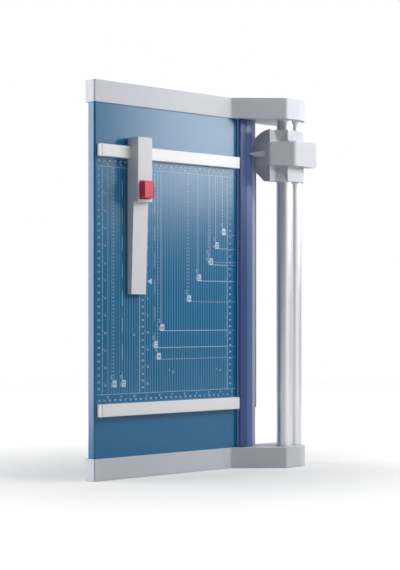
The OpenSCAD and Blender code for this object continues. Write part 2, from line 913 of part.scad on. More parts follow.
// Finger that presses the clamp strip down as the head passes
module finger() {
    low = table_top + strip_top + part_gap;
    y = saddle_y;
    color(guard_colour)
        hull() {
            block([band_x - over, y - finger_base_w / 2, low],
                [band_x, y + finger_base_w / 2, low + finger_base_h]);
            block([edge_x - finger_reach, y - finger_tip_w / 2, low],
                [edge_x - finger_reach + over, y + finger_tip_w / 2, low + finger_tip_h]);
        }
}

// Liners that run on the rails, two in each bore of the carriage
module slide_bushes() {
    color(bush_colour)
        for (p = rail_places, side = [-1, 1])
            difference() {
                bar_y(p[0], head_y + side * (head_l - bush_l) / 2 - bush_l / 2,
                    head_y + side * (head_l - bush_l) / 2 + bush_l / 2, p[1], bush_r);
                bar_y(p[0], head_y - head_l / 2 - over, head_y + head_l / 2 + over, p[1],
                    rail_r + run_gap);
            }
}

// Hand grip over the carriage: a band down the guard, a ramp, a flat top and a right end
module saddle_plan() {
    x0 = band_x;
    x1 = edge_x + saddle_reach;
    polygon(rounded([[x0, saddle_y - saddle_l / 2, 0], [x0, saddle_y + saddle_l / 2, 0],
        [x1, saddle_y + saddle_right_l / 2, saddle_r], [x1, saddle_y - saddle_right_l / 2, saddle_r]]));
}

module saddle() {
    right = edge_x + saddle_reach;
    color(grey_colour)
        difference() {
            intersection() {
                along_y(saddle_y - saddle_right_l / 2, saddle_y + saddle_right_l / 2)
                    polygon(rounded([[band_x, table_top + guard_up, 0], [band_x, shelf_z, band_r],
                        [edge_x + saddle_ramp_out, saddle_z, saddle_bend_r],
                        [right, saddle_z, saddle_r], [right, saddle_side_z, saddle_edge_r],
                        [edge_x + scoop_top_out, saddle_side_z, 0],
                        [edge_x + scoop_top_out, shelf_z, 0], [guard_x, shelf_z, 0],
                        [guard_x, table_top + guard_up, 0]]));
                translate([0, 0, table_top])
                    linear_extrude(saddle_z - table_top + over)
                        saddle_plan();
            }
            // the carriage below, and what runs in it
            along_y(saddle_y - saddle_right_l, saddle_y + saddle_right_l)
                polygon(rounded([[edge_x + scoop_near_out, shelf_z - over, 0],
                    [edge_x + scoop_near_out, shelf_z, 0], [edge_x + scoop_top_out, carriage_z, 0],
                    [carriage_right_x, carriage_z, carriage_r],
                    [carriage_right_x, shelf_z - over, 0]], 12));
            bar_x(recess_left_x, recess_right_x, saddle_y, blade_z, recess_r);
            for (p = rail_places)
                bar_y(p[0], saddle_y - saddle_right_l, saddle_y + saddle_right_l, p[1], bush_r);
            for (side = [-1, 1])
                bar_z(saddle_pin_x, saddle_y + side * saddle_pin_y, carriage_z - over,
                    carriage_z + saddle_pin_up, saddle_pin_r);
        }
}

// Dowels between the saddle and the carriage
module saddle_pins() {
    color(steel_colour)
        for (side = [-1, 1])
            bar_z(saddle_pin_x, saddle_y + side * saddle_pin_y, carriage_z - saddle_pin_down,
                carriage_z + saddle_pin_up, saddle_pin_r);
}

// Round blade, ground on the side away from the bed knife
module round_blade() {
    color(steel_colour)
        translate([blade_x, saddle_y, blade_z])
            rotate([0, 90, 0])
                rotate_extrude()
                    polygon([[hub_bore_r, 0], [blade_r, 0], [blade_r, blade_t * blade_land_share],
                        [blade_r - bevel_l, blade_t], [hub_bore_r, blade_t]]);
}

// Hub: two flanges that clamp the blade, on a sleeve that turns on the axle
module blade_hub() {
    color(alu_colour)
        difference() {
            union() {
                bar_x(blade_x - hub_side_t, blade_x, saddle_y, blade_z, hub_r);
                bar_x(blade_x - hub_side_t, blade_x + blade_t + hub_side_t, saddle_y, blade_z,
                    hub_bore_r);
                bar_x(blade_x + blade_t, blade_x + blade_t + hub_side_t, saddle_y, blade_z, hub_r);
            }
            bar_x(blade_x - hub_side_t - over, blade_x + blade_t + hub_side_t + over, saddle_y,
                blade_z, axle_r + run_gap);
        }
}

module blade_axle() {
    left = blade_x - hub_side_t - seat_gap - axle_head_h;
    color(steel_colour)
        translate([left, saddle_y, blade_z])
            rotate([0, 90, 0])
                screw(axle_r, recess_right_x + axle_l - left - axle_head_h, axle_head_r,
                    axle_head_h);
}

// Backstop: a block that straddles the far ruler bar, and a tapering arm on the table
module backstop() {
    low = table_top + stop_lift;
    right = stop_x + stop_w;
    color(grey_colour)
        difference() {
            union() {
                along_y(stop_near_y, stop_far_y)
                    polygon(rounded([[stop_x, low, 0], [stop_x, stop_z, stop_edge_r],
                        [right, stop_z, stop_edge_r], [right, low, 0]]));
                along_x(stop_x, right)
                    polygon([[arm_end_y, low], [stop_near_y + stop_wall, low],
                        [stop_near_y + stop_wall, table_top + arm_h],
                        [stop_near_y, table_top + arm_h], [arm_end_y, table_top + arm_end_h]]);
            }
            // channel of the ruler bar, less the hook that runs in its far groove
            difference() {
                block([stop_x - over, edge_l / 2 - bar_gap, low - over],
                    [right + over, edge_l / 2 + bar_w + bar_gap, table_top + bar_h + bar_gap]);
                block([stop_x - over, edge_l / 2 + bar_w - groove_d + hook_gap,
                        table_top + bar_h / 2 - groove_h / 2 + hook_gap],
                    [right + over, edge_l / 2 + bar_w + bar_gap,
                        table_top + bar_h / 2 + groove_h / 2 - hook_gap]);
            }
            // hollow of the lever, open at the bottom
            block([stop_x + stop_wall, stop_near_y + stop_wall, low - over],
                [right - stop_wall, edge_l / 2 - bar_gap + over, stop_z - stop_wall]);
            block([stop_x + stop_wall, edge_l / 2 - bar_gap, table_top + bar_h],
                [right - stop_wall, edge_l / 2 + bar_w, stop_z - stop_wall]);
            // opening of the button
            block([button_x - button_w / 2 - button_side_gap,
                    button_y - button_l / 2 - button_tilt_gap, stop_z - stop_wall - over],
                [button_x + button_w / 2 + button_side_gap,
                    button_y + button_l / 2 + button_side_gap, stop_z + over]);
            // hollow of the arm, open at the bottom
            along_x(stop_x + stop_wall, right - stop_wall)
                polygon([[arm_end_y + stop_wall, low - over], [stop_near_y - stop_wall, low - over],
                    [stop_near_y - stop_wall, table_top + arm_h - stop_wall - stop_edge_r],
                    [arm_end_y + stop_wall, table_top + arm_end_h - stop_wall]]);
            bar_x(stop_x + stop_wall / 2, right - stop_wall / 2, pivot_y, pivot_z, pivot_r);
        }
    // bosses of the jaw's screws
    color(grey_colour)
        for (y = jaw_screw_ys)
            difference() {
                bar_z(jaw_screw_x, y, low + jaw_t,
                    stop_z - stop_wall + seat_gap, jaw_boss_r);
                bar_z(jaw_screw_x, y, low - over, low + jaw_screw_l,
                    jaw_screw_r);
            }
}

// Steel plate under the block, with a hook in the near groove of the ruler bar
module grip_jaw() {
    low = table_top + stop_lift;
    groove_z = table_top + bar_h / 2 - groove_h / 2;
    x0 = stop_x + stop_wall + seat_gap;
    x1 = stop_x + stop_w - stop_wall - seat_gap;
    far = edge_l / 2 - bar_gap;
    color(steel_colour)
        difference() {
            union() {
                block([x0, stop_near_y + stop_wall + seat_gap, low], [x1, far, low + jaw_t]);
                block([x0, far - jaw_t, low], [x1, far, groove_z + groove_h - hook_gap]);
                block([x0, far - jaw_t, groove_z + hook_gap],
                    [x1, edge_l / 2 + groove_d - hook_gap, groove_z + groove_h - hook_gap]);
            }
            for (y = jaw_screw_ys) {
                bar_z(jaw_screw_x, y, low - over, low + jaw_t + over,
                    jaw_screw_r + seat_gap);
                bar_z(jaw_screw_x, y, low - over, low + jaw_head_h,
                    jaw_head_r + seat_gap);
            }
        }
}

module jaw_screws() {
    color(steel_colour)
        for (y = jaw_screw_ys)
            translate([jaw_screw_x, y, table_top + stop_lift])
                screw(jaw_screw_r, jaw_screw_l - jaw_head_h, jaw_head_r, jaw_head_h);
}

module lever_pin() {
    color(steel_colour)
        bar_x(stop_x + stop_wall / 2, stop_x + stop_w - stop_wall / 2, pivot_y, pivot_z, pivot_r);
}

// Rocking lever: the button's end goes down and the brake's end comes up
module lock_lever() {
    x = lever_x;
    color(steel_colour)
        difference() {
            union() {
                block([x - lever_w / 2, button_y - button_l / 2 + over, lever_z],
                    [x + lever_w / 2, bar_mid_y() + pad_l / 2, lever_z + lever_t]);
                bar_x(x - lever_w / 2, x + lever_w / 2, pivot_y, pivot_z, lever_eye_r);
            }
            bar_x(x - lever_w, x + lever_w, pivot_y, pivot_z, pivot_r + run_gap);
        }
}

module lock_button() {
    low = lever_z + lever_t;
    x0 = button_x - button_w / 2;
    x1 = button_x + button_w / 2;
    y0 = button_y - button_l / 2;
    y1 = button_y + button_l / 2;
    color(red_colour)
        intersection() {
            translate([0, 0, low])
                linear_extrude(stop_z + button_up - low)
                    polygon(rounded([[x0, y0, button_r], [x0, y1, button_r], [x1, y1, button_r],
                        [x1, y0, button_r]]));
            along_y(y0 - over, y1 + over)
                polygon(rounded([[x0, low, 0], [x0, stop_z + button_up, button_r / 2],
                    [x1, stop_z + button_up, button_r / 2], [x1, low, 0]]));
        }
}

module brake_pad() {
    x = lever_x;
    color(rubber_colour)
        block([x - pad_w / 2, bar_mid_y() - pad_l / 2, table_top + bar_h + pad_rest_gap],
            [x + pad_w / 2, bar_mid_y() + pad_l / 2, lever_z]);
}

module lock_spring() {
    low = table_top + stop_lift + jaw_t;
    color(steel_colour)
        translate([lever_x, button_y, low])
            coil(lock_spring_r, lock_spring_wire, lock_spring_turns, lever_z - low);
}

table_plate();
knife_carrier();
bed_knife();
knife_screws();
near_cap();
far_cap();
cap_screws();
left_rail();
right_rail();
rail_plugs();
rail_washers();
rail_screws();
feet();
near_bar();
far_bar();
bar_screws();
clamp_strip();
strip_pins();
near_spring();
far_spring();
carriage();
blade_guard();
saddle();
finger();
slide_bushes();
guard_screws();
saddle_pins();
blade_axle();
round_blade();
blade_hub();
backstop();
grip_jaw();
jaw_screws();
lever_pin();
lock_lever();
lock_button();
brake_pad();
lock_spring();
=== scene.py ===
import math

import bpy
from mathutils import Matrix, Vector


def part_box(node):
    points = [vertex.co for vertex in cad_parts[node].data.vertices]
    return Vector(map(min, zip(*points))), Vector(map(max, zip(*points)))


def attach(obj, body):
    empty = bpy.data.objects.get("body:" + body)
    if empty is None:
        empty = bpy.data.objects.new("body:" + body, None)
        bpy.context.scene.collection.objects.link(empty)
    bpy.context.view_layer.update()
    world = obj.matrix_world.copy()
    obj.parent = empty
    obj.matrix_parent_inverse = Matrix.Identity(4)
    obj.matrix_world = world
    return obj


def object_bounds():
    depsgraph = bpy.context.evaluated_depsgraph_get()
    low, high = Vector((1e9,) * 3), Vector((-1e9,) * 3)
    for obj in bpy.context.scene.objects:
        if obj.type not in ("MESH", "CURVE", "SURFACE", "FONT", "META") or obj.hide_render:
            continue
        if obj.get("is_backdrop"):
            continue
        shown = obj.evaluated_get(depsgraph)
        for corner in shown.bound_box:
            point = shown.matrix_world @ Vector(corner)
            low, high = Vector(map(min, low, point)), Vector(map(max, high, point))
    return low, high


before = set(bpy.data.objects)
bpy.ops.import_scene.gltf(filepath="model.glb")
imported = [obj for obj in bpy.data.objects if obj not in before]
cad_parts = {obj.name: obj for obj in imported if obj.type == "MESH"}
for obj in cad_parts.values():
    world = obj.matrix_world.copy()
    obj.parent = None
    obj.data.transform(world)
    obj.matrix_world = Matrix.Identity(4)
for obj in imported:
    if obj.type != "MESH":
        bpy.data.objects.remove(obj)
cad_low, cad_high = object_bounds()

# The view: the trimmer stands upright on its near end cap, and the camera looks level
# from its table side, 43 degrees off the table's normal. Up in the picture is +Y.
view_turn = math.radians(43.23)
view_data = bpy.data.cameras.new("photo_view")
view_data.sensor_width = 36
view_data.lens = 93.72
view_data.shift_y = 0.0498
view = bpy.data.objects.new("photo_view", view_data)
view.location = (-1.5619, -0.0479, 1.6903)
view.rotation_euler = (0, -view_turn, 0)
bpy.context.scene.collection.objects.link(view)
bpy.context.scene.camera = view
bpy.context.scene.view_settings.view_transform = "Standard"


# Studio room: all white for the camera. Gloss shows the white backdrop behind the
# trimmer and at its right, a pale panel straight in front of it, and else a dark room.
class Value:
    """A socket in a node tree. Operators between values add the Math nodes."""

    def __init__(self, tree, socket=None):
        self.tree = tree
        self.socket = socket

    def node(self, kind, settings=None, sockets=None, output=0):
        """Adds any other node: its settings first, then its sockets' values or links."""
        made = self.tree.nodes.new(kind)
        for name, setting in (settings or {}).items():
            setattr(made, name, setting)
        for name, value in (sockets or {}).items():
            if isinstance(value, Value):
                self.tree.links.new(value.socket, made.inputs[name])
            else:
                made.inputs[name].default_value = value
        return Value(self.tree, made.outputs[output])

    def math(self, operation, first, second):
        """Adds one Math node."""
        return self.node("ShaderNodeMath", {"operation": operation}, {0: first, 1: second})

    def __add__(self, other):
        return self.math("ADD", self, other)

    def __sub__(self, other):
        return self.math("SUBTRACT", self, other)

    def __rsub__(self, other):
        return self.math("SUBTRACT", other, self)

    def __mul__(self, other):
        return self.math("MULTIPLY", self, other)

    def __gt__(self, other):
        return self.math("GREATER_THAN", self, other)

    __radd__ = __add__
    __rmul__ = __mul__

    def clamp(self):
        """Keeps this value from 0 to 1."""
        return self.node("ShaderNodeClamp", {}, {0: self})

    def ramp(self, start, end):
        """0 where this value is at the start, 1 where it is at the end."""
        return ((self - start) * (1 / (end - start))).clamp()

    def part(self, name):
        """One of X, Y and Z of a place."""
        return self.node("ShaderNodeSeparateXYZ", {}, {0: self}, name)

    def between(self, first, second):
        """Mixes two colours by this value."""
        kind = {"data_type": "RGBA"}
        return self.node("ShaderNodeMix", kind, {0: self, 6: first, 7: second}, 2)

    def length(self):
        """The distance of a place from the object's own zero."""
        return self.node("ShaderNodeVectorMath", {"operation": "LENGTH"}, {0: self}, "Value")

    def stretched(self, x, y, z):
        """Scales a place along each axis."""
        kind = {"operation": "MULTIPLY"}
        return self.node("ShaderNodeVectorMath", kind, {0: self, 1: (x, y, z)})

    def noise(self, scale, detail=2.0, roughness=0.5):
        """Noise at this place, with scale in waves to the metre."""
        sockets = {"Vector": self, "Scale": scale, "Detail": detail, "Roughness": roughness}
        return self.node("ShaderNodeTexNoise", {}, sockets)

    def edge(self, radius):
        """1 along sharp edges, fading over a radius in metres."""
        rounded = self.node("ShaderNodeBevel", {"samples": 4}, {"Radius": radius})
        flat = self.node("ShaderNodeNewGeometry", output="Normal")
        kind = {"operation": "DOT_PRODUCT"}
        alike = self.node("ShaderNodeVectorMath", kind, {0: rounded, 1: flat}, "Value")
        return alike.ramp(1.0, 0.8)

    def bump(self, depth):
        """A normal from this value as a height, depth metres at most."""
        return self.node("ShaderNodeBump", {}, {"Height": self, "Distance": depth})


def seen(value):
    """1 for rays from the camera and for those that metal and glass send on."""
    path = ["Is Camera Ray", "Is Glossy Ray", "Is Transmission Ray"]
    rays = [value.node("ShaderNodeLightPath", output=name) for name in path]
    return (rays[0] + rays[1] + rays[2]).clamp()


world = bpy.data.worlds.new("studio")
world.use_nodes = True
bpy.context.scene.world = world
room = Value(world.node_tree)
room_light = 0.20
gloss_dark = 0.12
gloss_pale = 1.02
toward = room.node("ShaderNodeTexCoord", output="Generated")
backdrop = toward.part("Z").ramp(0.367, 0.033) * toward.part("X").ramp(-0.08, 0.32)
front_panel = toward.part("Z").ramp(0.867, 0.978)
pale = (backdrop + front_panel).clamp()
in_gloss_strength = pale * (gloss_pale - gloss_dark) + (gloss_dark - room_light)
in_view = room.node("ShaderNodeLightPath", output="Is Camera Ray")
in_gloss = (seen(room) - in_view).clamp()
room_strength = in_view * (1 - room_light) + in_gloss * in_gloss_strength + room_light
background = world.node_tree.nodes["Background"]
background.inputs["Color"].default_value = (1, 1, 1, 1)
world.node_tree.links.new(room_strength.socket, background.inputs["Strength"])

# Studio floor: pale paper just under the near end cap, seen from above only. It keeps
# the trimmer's shadow and turns white further out: near the trimmer it glows less, a
# painted shade round the trimmer's foot. Where a face nearly touches it, the paper lets
# the room's light through, so that the face isn't black from below.
mm = 0.001
floor_y = cad_low[1] - 0.5 * mm
floor_reach = 2.5
touch_reach = 4 * mm
shaded_near_strength = 0.26
open_strength = 0.86
open_from = 0.219
open_to = 0.844
floor_mesh = bpy.data.meshes.new("floor")
floor_corners = [(-floor_reach, floor_y, floor_reach), (floor_reach, floor_y, floor_reach),
                 (floor_reach, floor_y, -floor_reach), (-floor_reach, floor_y, -floor_reach)]
floor_mesh.from_pydata(floor_corners, [], [(0, 1, 2, 3)])
floor = bpy.data.objects.new("floor", floor_mesh)
bpy.context.scene.collection.objects.link(floor)
floor_finish = bpy.data.materials.new("floor_paper")
floor_finish.use_nodes = True
floor_tree = floor_finish.node_tree
floor_tree.nodes.remove(floor_tree.nodes["Principled BSDF"])
paper = Value(floor_tree)
paper_lit = paper.node("ShaderNodeBsdfDiffuse", {}, {"Color": (0.55, 0.55, 0.55, 1)})
# painted shade: the paper glows less for the camera near the trimmer than further out
shaded_near_glow = paper.node("ShaderNodeEmission", {}, {"Strength": seen(paper) * shaded_near_strength})
open_glow = paper.node("ShaderNodeEmission", {}, {"Strength": seen(paper) * open_strength})
from_middle = paper.node("ShaderNodeTexCoord", output="Object").length()
open_floor = from_middle.ramp(open_from, open_to)
paper_glow = paper.node("ShaderNodeMixShader", {}, {0: open_floor, 1: shaded_near_glow, 2: open_glow})
paper_front = paper.node("ShaderNodeAddShader", {}, {0: paper_lit, 1: paper_glow})
paper_back = paper.node("ShaderNodeBsdfTransparent")
from_below = paper.node("ShaderNodeNewGeometry", output="Backfacing")
touching = 1 - (paper.node("ShaderNodeLightPath", output="Ray Length") > touch_reach)
open_side = (from_below + touching).clamp()
paper_both = paper.node("ShaderNodeMixShader", {}, {0: open_side, 1: paper_front, 2: paper_back})
floor_tree.links.new(paper_both.socket, floor_tree.nodes["Material Output"].inputs["Surface"])
floor_mesh.materials.append(floor_finish)
floor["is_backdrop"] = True


# Studio lamps: a soft box high in front, a narrow strip at the right that gives the
# table its sheen, and a large screen behind the left edge for the outer left faces.
def lamp(name, place, aim, width, height, power):
    """A rectangular lamp at one place, aimed at another. The camera doesn't see it."""
    data = bpy.data.lights.new(name, "AREA")
    data.shape = "RECTANGLE"
    data.size = width
    data.size_y = height
    data.energy = power
    made = bpy.data.objects.new(name, data)
    made.location = place
    made.rotation_euler = (Vector(aim) - Vector(place)).to_track_quat("-Z", "Y").to_euler()
    made.visible_camera = False
    bpy.context.scene.collection.objects.link(made)


lamp("front_box", (0.42, 0.88, 1.05), (0.0, 0.1, 0.02), 0.6, 0.6, 6.9)
lamp("right_strip", (0.97, 0.42, 0.70), (0.1, 0.2, 0.02), 0.34, 0.8, 7.8)
lamp("left_screen", (-1.15, 0.2, -1.15), (-0.2, 0.0, 0.0), 1.2, 1.6, 30.0)


# End caps: two large injection mouldings in light grey, ribbed below. They hold the
# table, the clamp strip and the rails between them, and stand on rubber feet.
def colour(code):
    """A hexadecimal colour as linear values."""
    parts = [int(code[i:i + 2], 16) / 255 for i in (0, 2, 4)]
    return [c / 12.92 if c < 0.04045 else ((c + 0.055) / 1.055) ** 2.4 for c in parts] + [1.0]


def finish(name, constants):
    """A new material and the place on the surface, in metres."""
    material = bpy.data.materials.new(name)
    material.use_nodes = True
    shader = material.node_tree.nodes["Principled BSDF"]
    for socket, value in constants.items():
        shader.inputs[socket].default_value = value
    return material, Value(material.node_tree).node("ShaderNodeTexCoord", output="Object")


def apply(material, tone, rough, relief=None):
    """Links a tone, a roughness and, where it has one, a relief to a material's shader."""
    shader = material.node_tree.nodes["Principled BSDF"]
    for socket, value in (("Base Color", tone), ("Roughness", rough), ("Normal", relief)):
        if value is not None:
            material.node_tree.links.new(value.socket, shader.inputs[socket])


def moulding(name, light, dark, roughness):
    """Injection moulded plastic: fine eroded grain, faint flow clouds, scuffs, and rubbed edges that
    are smoother and painted paler as a highlight.
    """
    material, place = finish(name, {"IOR": 1.5})
    clouds = place.noise(14, 3)
    grains = place.noise(1500, 3, 0.6)
    scuffs = place.stretched(1, 0.25, 1).noise(70, 5, 0.7) > 0.66
    # edges: rubbed smoother, and painted paler as a highlight
    rubbed_highlit_edges = place.edge(0.8 * mm) * clouds
    tone = (clouds * 0.75 + grains * 0.25).between(colour(dark), colour(light))
    worn_highlit_tone = (rubbed_highlit_edges * 0.5).between(tone, (0.86, 0.86, 0.87, 1))
    rough = roughness + clouds * 0.08 + grains * 0.10 - scuffs * 0.06 - rubbed_highlit_edges * 0.08
    apply(material, worn_highlit_tone, rough, grains.bump(0.04 * mm))
    return material


def smooth(part):
    """Shades all faces of a piece smooth."""
    for polygon in part.data.polygons:
        polygon.use_smooth = True


def soften(part, width, segments=3, angle=35):
    """Rounds the sharp edges of a piece by modifiers."""
    smooth(part)
    weld = part.modifiers.new("weld", "WELD")
    weld.merge_threshold = 0.01 * mm
    flats = part.modifiers.new("flats", "DECIMATE")
    flats.decimate_type = "DISSOLVE"
    flats.angle_limit = math.radians(0.5)
    edges = part.modifiers.new("edges", "BEVEL")
    edges.width = width
    edges.segments = segments
    edges.limit_method = "ANGLE"
    edges.angle_limit = math.radians(angle)
    normals = part.modifiers.new("normals", "WEIGHTED_NORMAL")
    normals.mode = "FACE_AREA"
    normals.keep_sharp = True


def dress(node, material, width, segments=3, angle=35):
    """Gives a CAD node its finish and rounds its sharp edges."""
    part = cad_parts[node]
    part.data.materials.clear()
    part.data.materials.append(material)
    soften(part, width, segments, angle)


cap_finish = moulding("cap_moulding", "d9dbe3", "cfd1da", 0.42)
for cap in ("far_cap", "near_cap"):
    dress(cap, cap_finish, 1.0 * mm)

# Rubber pieces: the feet under the caps and the brake pad in the backstop, pressed
# from black rubber with an open, matt skin.
rubber, place = finish("black_rubber", {"IOR": 1.5})
pores = place.noise(700, 3, 0.6)
rubber_tone = pores.between(colour("1c1c1e"), colour("2e2e31"))
apply(rubber, rubber_tone, pores * 0.15 + 0.75, pores.bump(0.08 * mm))
for node in ("feet", "brake_pad"):
    dress(node, rubber, 0.4 * mm)

# Table: steel sheet folded down at both sides, in smooth blue stoving paint. It lies on
# the end caps and on the knife carrier.
paint, place = finish("table_paint", {"IOR": 1.5})
peel = place.noise(700, 2)
clouds = place.noise(6, 3)
rubs = place.stretched(1, 6, 1).noise(45, 6, 0.75)
paint_tone = clouds.between(colour("0d6b99"), colour("1271a0"))
apply(paint, paint_tone, peel * 0.04 + rubs * 0.05 + 0.19, peel.bump(0.004 * mm))
dress("table_plate", paint, 0.3 * mm, segments=2)

# Print on the table: centimetre and inch scales, fine guide lines and paper formats in
# pale screen ink. The formats are measured from the cut and from the far ruler bar.
table_low, table_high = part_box("table_plate")
far_bar_low, far_bar_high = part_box("far_bar")
near_bar_low, near_bar_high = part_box("near_bar")
print_z = table_high[2] + 0.03 * mm
cut_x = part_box("bed_knife")[1][0] - 1.0 * mm
stop_y = far_bar_low[1]
ink_points = []
ink_faces = []
digit_shapes = {}


def patch(x0, y0, x1, y1, lift=0.0):
    """A rectangle of ink between two corners."""
    start = len(ink_points)
    z = print_z + lift
    ink_points.extend([(x0, y0, z), (x1, y0, z), (x1, y1, z), (x0, y1, z)])
    ink_faces.append(tuple(range(start, start + 4)))


def dashes(start, end, dash, gap):
    """The two ends of each dash from start to end, or of one whole line without a dash."""
    step = dash + gap if dash else end - start
    count = math.ceil((end - start) / step - 0.01)
    return [(start + i * step, min(start + i * step + (dash or step), end)) for i in range(count)]


def line_along_x(x0, x1, y, width, dash=0.0, gap=0.0):
    """A line of ink along X, dashed where a dash is given."""
    for dash_x0, dash_x1 in dashes(x0, x1, dash, gap):
        patch(dash_x0, y - width / 2, dash_x1, y + width / 2)


def line_along_y(y0, y1, x, width, dash=0.0, gap=0.0):
    """A line of ink along Y, dashed where a dash is given."""
    for dash_y0, dash_y1 in dashes(y0, y1, dash, gap):
        patch(x - width / 2, dash_y0, x + width / 2, dash_y1)


def digit_shape(digit):
    """Points and faces of one digit of the plain built-in font, one unit high."""
    if digit not in digit_shapes:
        letters = bpy.data.curves.new("digit", "FONT")
        letters.body = digit
        letters.resolution_u = 2
        letters.offset = 0.025
        holder = bpy.data.objects.new("digit", letters)
        flat = bpy.data.meshes.new_from_object(holder)
        tall = max(v.co.y for v in flat.vertices)
        points = [(v.co.x / tall, v.co.y / tall) for v in flat.vertices]
        digit_shapes[digit] = (points, [tuple(f.vertices) for f in flat.polygons])
        bpy.data.objects.remove(holder)
        bpy.data.meshes.remove(flat)
    return digit_shapes[digit]


def number(value, x, y, tall, turned=False, lift=0.0, points_to=ink_points, faces_to=ink_faces):
    """A number centred on a place. Turned numbers read towards the far side."""
    pitch = 0.82 * tall
    left = -pitch * len(str(value)) / 2
    for i, digit in enumerate(str(value)):
        points, faces = digit_shape(digit)
        start = len(points_to)
        for px, py in points:
            u = left + i * pitch + px * tall
            v = (py - 0.5) * tall
            spot = (x - v, y + u) if turned else (x + u, y + v)
            points_to.append((spot[0], spot[1], print_z + lift))
        faces_to.extend(tuple(start + k for k in face) for face in faces)


def tick(step, lengths):
    """A tick's length, of three: at each tenth step, at each fifth, and at the others."""
    return lengths[0] if step % 10 == 0 else lengths[1] if step % 5 == 0 else lengths[2]


inch = 25.4 * mm
cm = 10 * mm
edge_gap = 4.5 * mm
scale_depth = 13.8 * mm
scale_tall = 2.8 * mm
mm_tick_w = 0.14 * mm
field_left = table_low[0] + edge_gap
field_right = far_bar_high[0]
far_line_y = far_bar_low[1] - scale_depth
near_line_y = near_bar_high[1] + scale_depth

# rows of numbers beside the two ruler bars, counted from the cut: centimetres at the
# bar and inches with their eighths at the line inside
row_line_w = 0.45 * mm
row_ticks = (3.0 * mm, 2.2 * mm, 1.4 * mm)
whole_inch_tick = 3.0 * mm
eighth_tick = 1.3 * mm
eighth_tick_w = 0.2 * mm
cm_row = 5.2 * mm
inch_row = 4.0 * mm
cm_shift = 3.0 * mm
inch_shift = 2.4 * mm
row_steps = range(47, 328)
row_centimetres = range(5, 33)
row_eighths = range(15, 103)
row_inches = range(2, 13)
for bar_y, line_y, inward in ((far_bar_low[1], far_line_y, -1), (near_bar_high[1], near_line_y, 1)):
    line_along_x(field_left, field_right, line_y, row_line_w)
    for step in row_steps:
        tick_end = bar_y + inward * tick(step, row_ticks)
        line_along_y(*sorted((bar_y, tick_end)), cut_x - step * mm, mm_tick_w)
    for k in row_centimetres:
        number(k, cut_x - k * cm - cm_shift, bar_y + inward * cm_row, scale_tall)
    for eighth in row_eighths:
        tick_end = line_y - inward * (whole_inch_tick if eighth % 8 == 0 else eighth_tick)
        line_along_y(*sorted((line_y, tick_end)), cut_x - eighth * inch / 8, eighth_tick_w)
    for k in row_inches:
        number(k, cut_x - k * inch - inch_shift, line_y - inward * inch_row, scale_tall)

# upright scales, counted from the far ruler bar: one at the left edge, one in the
# middle, both with centimetres and inches, and one in centimetres beside the strip
upright_ticks = (2.6 * mm, 1.9 * mm, 1.2 * mm)
cm_rise = 2.2 * mm
inch_drop = 2.6 * mm
inch_tick = 4.0 * mm
inch_tick_w = 0.3 * mm
upright_steps = range(15, 346)
upright_centimetres = range(2, 35)
upright_inches = range(1, 14)


def upright_scale(cm_line, cm_x, side, inch_line=None, inch_x=None):
    """Ticks on one side of a line, with numbers in a column at cm_x and at inch_x."""
    for step in upright_steps:
        tick_end = cm_line + side * tick(step, upright_ticks)
        line_along_x(*sorted((cm_line, tick_end)), stop_y - step * mm, mm_tick_w)
    for k in upright_centimetres:
        number(k, cm_x, stop_y - k * cm + cm_rise, scale_tall)
    if inch_line is not None:
        for k in upright_inches:
            line_along_x(inch_line, inch_line + inch_tick, stop_y - k * inch, inch_tick_w)
            number(k, inch_x, stop_y - k * inch - inch_drop, scale_tall)


left_line = cut_x - 317.1 * mm
left_inner_line = cut_x - 307.4 * mm
middle_line = cut_x - 245.9 * mm
middle_inner_line = cut_x - 235.2 * mm
right_line = cut_x - 64.0 * mm
left_cm_x = left_line - 7.0 * mm
left_inch_x = left_line + 5.5 * mm
middle_cm_x = middle_line + 6.6 * mm
middle_inch_x = middle_inner_line + 5.8 * mm
right_cm_x = right_line + 6.4 * mm
upright_lines = ((left_line, 0.45 * mm), (left_inner_line, 0.3 * mm), (middle_line, 0.6 * mm),
                 (middle_inner_line, 0.4 * mm), (right_line, 0.7 * mm))
for x, width in upright_lines:
    line_along_y(near_line_y, far_line_y, x, width)
upright_scale(left_line, left_cm_x, -1, left_line, left_inch_x)
upright_scale(middle_line, middle_cm_x, 1, middle_inner_line, middle_inch_x)
upright_scale(right_line, right_cm_x, 1)

# fine guide lines, parallel to the cut
guide_pitch = 5 * mm
guide_w = 0.22 * mm
guides = range(13, 62)
for k in guides:
    line_along_y(near_line_y, far_line_y, cut_x - k * guide_pitch, guide_w)

# paper formats: the distance from the cut and from the far bar in mm, the number on the
# format's label, and the dash and gap in mm of its upright and its level line
label_points = []
label_faces = []
label_w = 7.6 * mm
label_h = 10.2 * mm
label_left = 1.1 * mm
label_drop = 0.3 * mm
label_lift = 0.02 * mm
label_tall = 4.6 * mm
label_number_lift = 0.05 * mm
size_tall = 2.3 * mm
size_left = 3.0 * mm
wide_rise = 3.6 * mm
deep_rise = 15.0 * mm
dashed_w = 0.9 * mm
plain_w = 0.6 * mm
level_w = 0.75 * mm
level_end_w = 0.3 * mm
solid = (0, 0)
dashed = (2.8, 2.6)
long_dashed = (22, 18)
paper_formats = [
    (74, 105, 7, dashed, dashed), (88.9, 127, 35, solid, solid), (105, 148, None, dashed, dashed),
    (101.6, 152.4, 46, solid, solid), (127, 177.8, 57, solid, solid), (148, 210, 5, dashed, dashed),
    (203.2, 254, 8, solid, solid), (215.9, 279.4, 11, long_dashed, solid),
    (210, 297, 4, dashed, dashed), (279.4, 336, 17, long_dashed, None), (297, 336, 3, dashed, None)]
